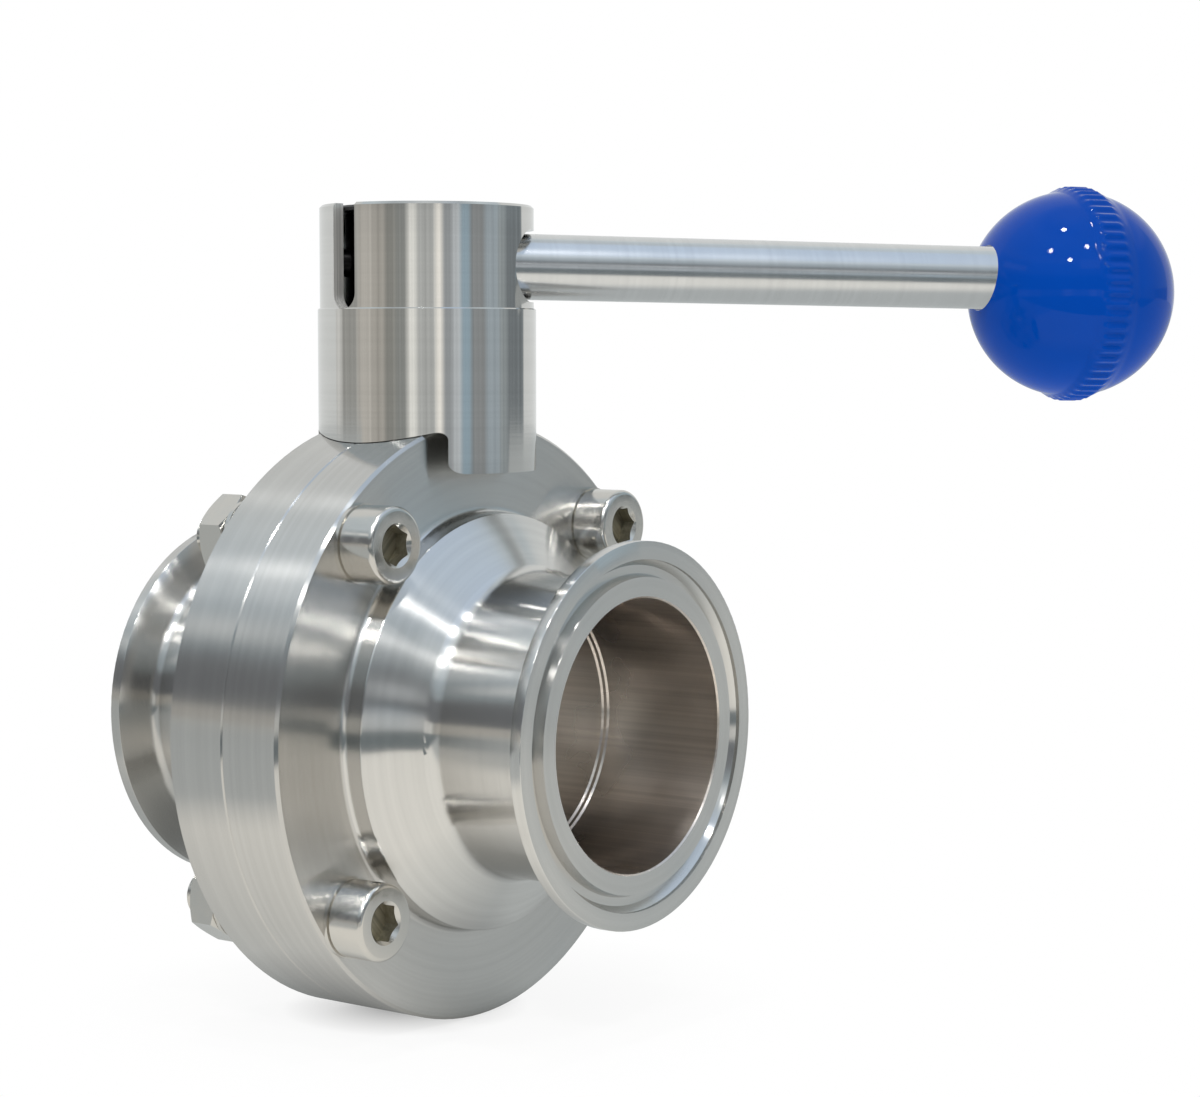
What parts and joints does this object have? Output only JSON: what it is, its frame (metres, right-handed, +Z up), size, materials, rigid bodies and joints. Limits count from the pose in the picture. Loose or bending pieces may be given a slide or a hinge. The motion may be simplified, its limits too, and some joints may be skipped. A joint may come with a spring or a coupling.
{
  "type": "sanitary butterfly valve",
  "caption": "Stainless sanitary butterfly valve with clamp ferrule ends, bolted flanges, a turned handle housing and a pull lever with a blue ball knob.",
  "frame": {"origin": "centre of the valve, where the flow axis meets the stem axis", "axes": "+X along the flow axis towards the front ferrule, +Z up the stem, +Y completes the right-handed frame"},
  "size_m": [0.1073, 0.1332, 0.1137],
  "materials": {
    "brushed_body": "turned and polished stainless steel",
    "housing_steel": "bright turned stainless steel",
    "lever_steel": "satin ground bar",
    "polished_disc": "fine polished stainless steel",
    "fastener": "bright stainless fasteners",
    "spring_steel": "bright drawn wire and strip",
    "bearing": "machined",
    "bronze": "machined bearing bronze",
    "insert_brass": "machined brass",
    "seat_rubber": "smooth moulded elastomer",
    "seal_rubber": "smooth moulded elastomer",
    "plug_plastic": "fine matt",
    "blue_ball": "high gloss"
  },
  "bodies": {
    "valve_body": {"front_body_half": "brushed_body", "rear_body_half": "brushed_body", "seat_ring": "seat_rubber", "upper_stem_bush": "bearing", "lower_stem_bush": "bearing", "stem_seal": "seal_rubber", "body_screws": "fastener", "screw_washers": "fastener", "body_nuts": "fastener", "nut_washers": "fastener", "locating_dowels": "fastener", "handle_housing": "housing_steel", "housing_clip": "spring_steel", "thrust_washer": "bronze"},
    "rotor": {"disc": "polished_disc", "rotor_head": "housing_steel", "head_screw": "fastener", "rotor_plug": "plug_plastic", "spring_retainer": "bronze", "lock_spring": "spring_steel"},
    "lever": {"lock_plunger": "polished_disc", "lever_rod": "lever_steel", "knob_insert": "insert_brass", "ball_knob": "blue_ball"}
  },
  "joints": [
    {"name": "stem_turn", "type": "hinge", "parent": "valve_body", "child": "rotor", "pos_m": [0, 0, 0], "axis": [0, 0, 1], "range_deg": [-30, 60]},
    {"name": "lever_pull", "type": "slide", "parent": "rotor", "child": "lever", "axis": [0.5877, 0.8089, -0.014], "range_m": [0, 0.0025], "stiffness_N_per_m": 800, "springref_m": -0.006, "deforming": ["lock_spring"]}
  ]
}
